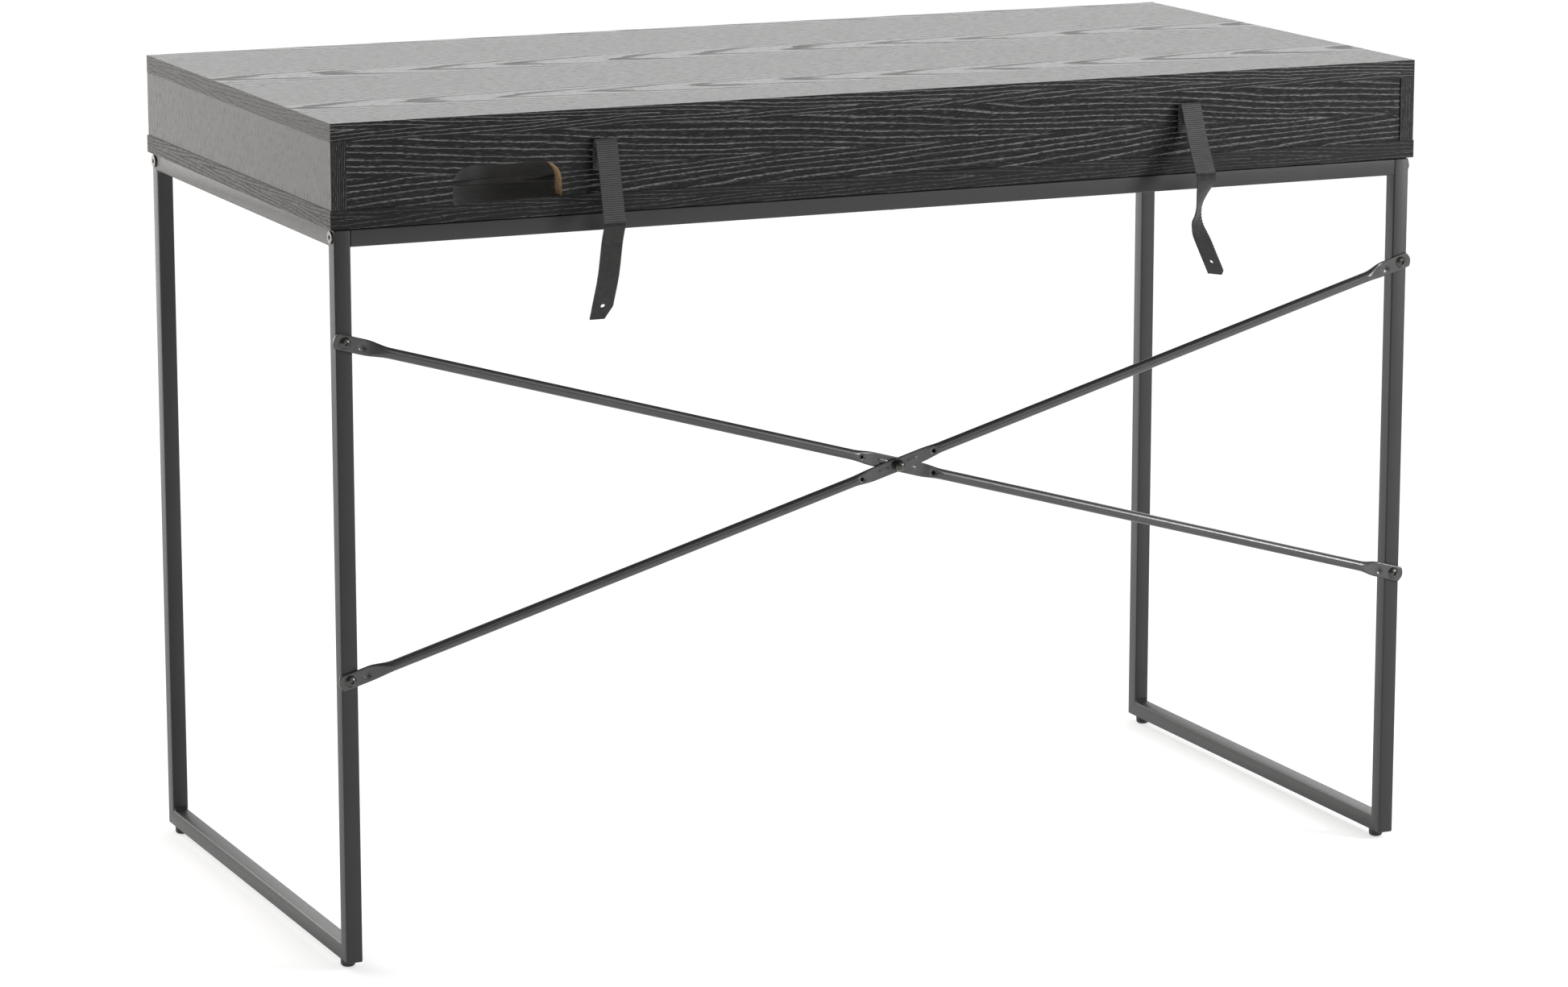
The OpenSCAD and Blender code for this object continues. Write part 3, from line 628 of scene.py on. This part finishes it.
def stadium(a, b):
    """A flattened tube's outline: half width a, half thickness b, as RING_POINTS even points."""
    b = min(a, b)
    flat = a - b
    total = 4 * flat + 2 * math.pi * b
    points = []
    for k in range(RING_POINTS):
        s = total * k / RING_POINTS
        if s < 2 * flat:
            points.append((flat - s, b))
            continue
        s -= 2 * flat
        if s < math.pi * b:
            turn = math.pi / 2 + s / b
            points.append((-flat + b * math.cos(turn), b * math.sin(turn)))
            continue
        s -= math.pi * b
        if s < 2 * flat:
            points.append((-flat + s, -b))
            continue
        turn = -math.pi / 2 + (s - 2 * flat) / b
        points.append((flat + b * math.cos(turn), b * math.sin(turn)))
    return points


def brace_stations(half):
    """Places along half a brace: close together in the pressed stretches, far apart in the tube."""
    places = [STATION * i for i in range(int((MID_FLAT + FLARE + MARGIN) / STATION))]
    reach = half - END_FLAT - FLARE - MARGIN
    while places[-1] + TUBE_STATION < reach:
        places.append(places[-1] + TUBE_STATION)
    tip = half + END_R
    while places[-1] + STATION < tip - 1.0 * MM:
        places.append(places[-1] + STATION)
    places += [tip - d * MM for d in (0.9, 0.6, 0.35, 0.15, 0.05)]
    return places


def brace(name, material, slope, mid_y, leg_y):
    """A round tube pressed flat at its ends and its middle, with a ridge on each side of the middle bolt.
    slope is 1 where it falls towards +X and -1 where it rises; mid_y and leg_y are where the middle and
    the ends lie flat against something."""
    frame_low, frame_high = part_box("side_frame_right")
    bolt_x = (frame_low.x + frame_high.x) / 2
    rise = BRACE_TOP - BRACE_LOW
    half = math.hypot(2 * bolt_x, rise) / 2
    axis_y = leg_y + BRACE_D / 2
    ups = brace_stations(half)
    bm = bmesh.new()
    sections = []
    for x in [-u for u in reversed(ups[1:])] + ups:
        s = abs(x)
        if s < half / 2:
            round_part = smooth_step((s - MID_FLAT) / FLARE)
            width, flat_y = MID_W, mid_y + PLATE_T / 2
        else:
            round_part = smooth_step((half - END_FLAT - s) / FLARE)
            width, flat_y = END_W, leg_y + PLATE_T / 2
        a = (width + (BRACE_D - width) * round_part) / 2
        b = (PLATE_T + (BRACE_D - PLATE_T) * round_part) / 2
        y = flat_y + (axis_y - flat_y) * round_part
        if s > half:
            a = min(a, math.sqrt(max(END_R ** 2 - (s - half) ** 2, 1e-9)))
        ring = []
        for across, deep in stadium(a, min(b, a)):
            lift = 0.0
            if s < MID_FLAT and deep > 0:
                long = smooth_step((RIDGE_L - abs(s - RIDGE_AT)) / RIDGE_END)
                lift = RIDGE_H * long * smooth_step((RIDGE_W - abs(across)) / RIDGE_SIDE)
            ring.append(Vector((x, y + deep + lift, across)))
        sections.append(ring)
    loft(bm, sections)
    for side in (-1, 1):
        for at in (MID_HOLE, half - END_HOLE):
            dimple(bm, side * at)
    turn = Matrix.Rotation(math.atan2(rise, 2 * bolt_x) * slope, 4, "Y")
    place = Matrix.Translation((0, 0, (BRACE_TOP + BRACE_LOW) / 2)) @ turn
    bmesh.ops.transform(bm, matrix=place, verts=bm.verts)
    piece = finish_mesh(bm, name + "_tube", material, name)
    for at, floor in ((MID_HOLE, MID_HOLE_FLOOR), (half - END_HOLE, END_HOLE_FLOOR)):
        middles = [place @ Vector((side * at, leg_y + floor + BRACE_D, 0)) for side in (-1, 1)]
        drill(piece, middles, reach=BRACE_D)
    sharpen(piece, 48)


def dimple(bm, x):
    """Draws the outer face in round a press hole, as the punch does."""
    for v in bm.verts:
        d = math.hypot(v.co.x - x, v.co.z)
        if d < PRESS_R + DIMPLE_W:
            pull = smooth_step(1 - (d - PRESS_R) / DIMPLE_W)
            v.co.y -= DIMPLE_DEPTH * pull


def drill(piece, centres, axis=Vector((0, 1, 0)), radius=PRESS_R, reach=12 * MM):
    """Cuts round holes that go this far either way from their centres."""
    side = axis.cross(Vector((1, 0, 0))).normalized()
    other = axis.cross(side)
    bm = bmesh.new()
    for centre in centres:
        ring = [centre + radius * (side * math.cos(a) + other * math.sin(a))
                for a in (2 * math.pi * k / 24 for k in range(24))]
        loft(bm, [[p + axis * d for p in ring] for d in (-reach, reach)])
    bmesh.ops.recalc_face_normals(bm, faces=bm.faces)
    mesh = bpy.data.meshes.new("drill")
    bm.to_mesh(mesh)
    bm.free()
    tool = bpy.data.objects.new("drill", mesh)
    bpy.context.scene.collection.objects.link(tool)
    cut = piece.modifiers.new("holes", "BOOLEAN")
    cut.operation = "DIFFERENCE"
    cut.solver = "EXACT"
    cut.object = tool
    bpy.context.view_layer.update()
    done = bpy.data.meshes.new_from_object(piece.evaluated_get(bpy.context.evaluated_depsgraph_get()))
    piece.modifiers.clear()
    old = piece.data
    piece.data = done
    bpy.data.meshes.remove(old)
    bpy.data.objects.remove(tool)


# ---- Straps --------------------------------------------------------------------------

STRAP_W = 20 * MM
STRAP_T = 1.4 * MM
RIB = 1.9 * MM
RIB_STEPS = 6
RIB_NARROWS = 0.45 * MM
RIB_THINS = 0.30 * MM
YARN = 1.25 * MM
WEAVE_DEPTH = 0.22 * MM
ACROSS_STEPS = 20
STRAP_HOLE_UP = 14 * MM
STRAP_HOLE_R = 2.0 * MM
TAIL_Y = 254.8
STRAPS = {
    "strap_right": {
        "x": 278,
        "fold": 104,
        "twist": ((0, 0),),
        "corner": (14 * MM, 6 * MM),
        "path": [(TAIL_Y, 686), (TAIL_Y, 709), (257.6, 713), (260.4, 711.6), (264, 702), (270, 680),
                 (276, 658), (279.5, 643), (278.5, 639), (273, 626), (264, 596), (252, 571), (244, 555)],
    },
    "strap_left": {
        "x": -290,
        "fold": 98,
        "twist": ((94, 0), (135, -47), (166, -14)),
        "corner": (5 * MM, 4 * MM),
        "path": [(TAIL_Y, 686), (TAIL_Y, 709), (257.5, 712), (260.5, 710.5), (272, 685), (282, 667),
                 (291.5, 650), (291, 646), (282, 628), (275, 612), (280, 600), (290, 589), (313, 566)],
    },
}


def curve_points(knots, step):
    """Even points along a Catmull-Rom curve through the knots, with the length to each."""
    fine = []
    ends = [2 * knots[0] - knots[1], *knots, 2 * knots[-1] - knots[-2]]
    for p0, p1, p2, p3 in zip(ends, ends[1:], ends[2:], ends[3:]):
        for i in range(24):
            t = i / 24
            fine.append(0.5 * (2 * p1 + (p2 - p0) * t + (2 * p0 - 5 * p1 + 4 * p2 - p3) * t * t
                               + (3 * p1 - p0 - 3 * p2 + p3) * t ** 3))
    fine.append(knots[-1].copy())
    lengths = [0.0]
    for a, b in zip(fine, fine[1:]):
        lengths.append(lengths[-1] + (b - a).length)
    count = max(2, round(lengths[-1] / step))
    result, k = [], 0
    for i in range(count + 1):
        s = lengths[-1] * i / count
        while k < len(fine) - 2 and lengths[k + 1] < s:
            k += 1
        part = (s - lengths[k]) / max(lengths[k + 1] - lengths[k], 1e-12)
        result.append(fine[k].lerp(fine[k + 1], part))
    return result, lengths[-1]


def strap(name, material):
    spec = STRAPS[name]
    knots = [Vector((spec["x"], y, z)) * MM for y, z in spec["path"]]
    points, length = curve_points(knots, RIB / RIB_STEPS)
    bm = bmesh.new()
    weave = bm.loops.layers.uv.new("webbing")
    sections = []
    for i, point in enumerate(points):
        ahead = (points[min(i + 1, len(points) - 1)] - points[max(i - 1, 0)]).normalized()
        angle = twist_at(spec["twist"], length * i / (len(points) - 1))
        wide = Matrix.Rotation(math.radians(angle), 3, ahead) @ Vector((1, 0, 0))
        out = ahead.cross(wide).normalized()
        rib = 0.5 + 0.5 * math.cos(2 * math.pi * i / RIB_STEPS)
        half_w = STRAP_W / 2 - RIB_NARROWS * (1 - rib)
        half_t = STRAP_T / 2 - RIB_THINS * (1 - rib)
        edges = [2 * k / ACROSS_STEPS - 1 for k in range(ACROSS_STEPS + 1)]
        top = [point + wide * (half_w * e) + out * half_t for e in edges]
        low = [point + wide * (half_w * -e) - out * half_t for e in edges]
        sections.append(top + low)
    for i, ring in enumerate(loft(bm, sections)):
        for k, vert in enumerate(ring):
            over = min(k, 2 * ACROSS_STEPS + 1 - k) * STRAP_W / ACROSS_STEPS
            for loop in vert.link_loops:
                loop[weave].uv = (i * RIB / RIB_STEPS / MM - spec["fold"], over / MM)
    down = (points[-1] - points[-8]).normalized()
    trim_corner(bm, points[-1], down, wide, *spec["corner"])
    piece = finish_mesh(bm, name + "_webbing", material, name)
    hole = points[-1] - STRAP_HOLE_UP * down
    drill(piece, [hole], down.cross(wide).normalized(), STRAP_HOLE_R)
    sharpen(piece, 70)
    return piece


def twist_at(stops, s):
    """The strap's turn about its own length in degrees, eased between stops of (millimetres, degrees)."""
    s /= MM
    for (s0, a0), (s1, a1) in zip(stops, stops[1:]):
        if s <= s1:
            return a0 + (a1 - a0) * smooth_step((s - s0) / (s1 - s0))
    return stops[-1][1]


def trim_corner(bm, tip, down, wide, along, across):
    """Cuts the tip's left corner off, from across in on the end edge to along up the side edge."""
    first = tip - wide * (STRAP_W / 2 - across)
    second = tip - wide * (STRAP_W / 2) - down * along
    normal = (first - second).normalized().cross(down.cross(wide)).normalized()
    if normal.dot(wide) > 0:
        normal = -normal
    cut = bmesh.ops.bisect_plane(bm, geom=bm.verts[:] + bm.edges[:] + bm.faces[:], plane_co=first,
                                 plane_no=normal, clear_outer=True)
    rim = [e for e in cut["geom_cut"] if isinstance(e, bmesh.types.BMEdge)]
    bmesh.ops.holes_fill(bm, edges=rim)


# ---- Build ---------------------------------------------------------------------------

# How far the boards' edges are rounded off
BOARD_EDGE = 0.5 * MM
BASE_EDGE = 0.9 * MM
BACK_EDGE = 0.35 * MM
DRAWER_EDGE = 0.4 * MM
NO_ARCHES = 1400  # a column wider than the board, so its grain runs straight


def main():
    make_camera()
    make_studio()
    make_floor()

    dress(["top_panel"], ash("ash_top", "flat", shift=(30, 57), edge=-64.5, mark=1.0), BOARD_EDGE)
    base = ash("ash_bottom", "flat", shift=(610, 57), edge=9.5, pore=0.5)
    dress(["bottom_panel"], base, BASE_EDGE)
    cut_low, cut_high = Vector((0.315, 0, 0.6662)), Vector((0.417, 0, 0.699))
    back = ash("ash_back", "back", shift=(170, -795), bend=6, finer=0.62, cut_out=(cut_low, cut_high))
    dress(["back_panel"], back, BACK_EDGE)
    upright = ash("ash_side", "side", shift=(90, 450), edge=-450, column=NO_ARCHES, pore=0.7, finer=0.3)
    dress(["side_panel_left", "side_panel_right"], upright, BOARD_EDGE)
    inner = ash("ash_divider", "side", shift=(300, 490), column=NO_ARCHES, finer=0.3)
    dress(["divider_middle", "divider_niche"], inner, BOARD_EDGE)
    front = ash("ash_front", "back", shift=(55, -600), finer=0.6)
    dress(["drawer_left_front", "drawer_right_front"], front, BOARD_EDGE)
    walls = [f"drawer_{s}_{p}" for s in ("left", "right") for p in ("wall_left", "wall_right", "back")]
    dress(walls, ash("drawer_foil", "side", shift=(470, 40), pore=0.6, finer=1.5), DRAWER_EDGE)
    dress(["drawer_left_bottom", "drawer_right_bottom"], hardboard())

    coat = powder_coat()
    for name in ("side_frame_left", "side_frame_right"):
        side_frame(name, coat)
    for name in ("front_rail", "rear_rail"):
        cross_rail(name, coat)
    leg_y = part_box("side_frame_right")[1].y
    cross_y = leg_y + PLATE_T + 0.1 * MM
    glossy = powder_coat("brace_coat", 0.065, 0.13, 0.6)
    brace("brace_front", glossy, 1, cross_y + PLATE_T, leg_y)
    brace("brace_rear", glossy, -1, cross_y, leg_y)

    zinc = zinc_plate()
    plated = [f"slide_{kind}_{i}" for kind in ("outer", "inner") for i in (1, 2, 3, 4)]
    plated += ["drawer_left_screws", "drawer_right_screws", "slide_screws", "rail_plugs", "rivet_nuts",
               "frame_screws", "strap_washers", "cam_locks", "cam_bolts"]
    dress(plated, zinc)
    dress(["slide_balls_left", "slide_balls_right"], ball_steel())
    plastic = black_plastic()
    dress([f"slide_cage_{i}" for i in (1, 2, 3, 4)] + [f"foot_{i}" for i in (1, 2, 3, 4)], plastic)
    bolts = bolt_steel()
    dress(["corner_bolts", "brace_bolts", "centre_bolt", "centre_cap_nut", "strap_screws", "base_screws"],
          bolts)
    dress(["dowels"], beech())

    belt = webbing()
    for name in STRAPS:
        strap(name, belt)


main()
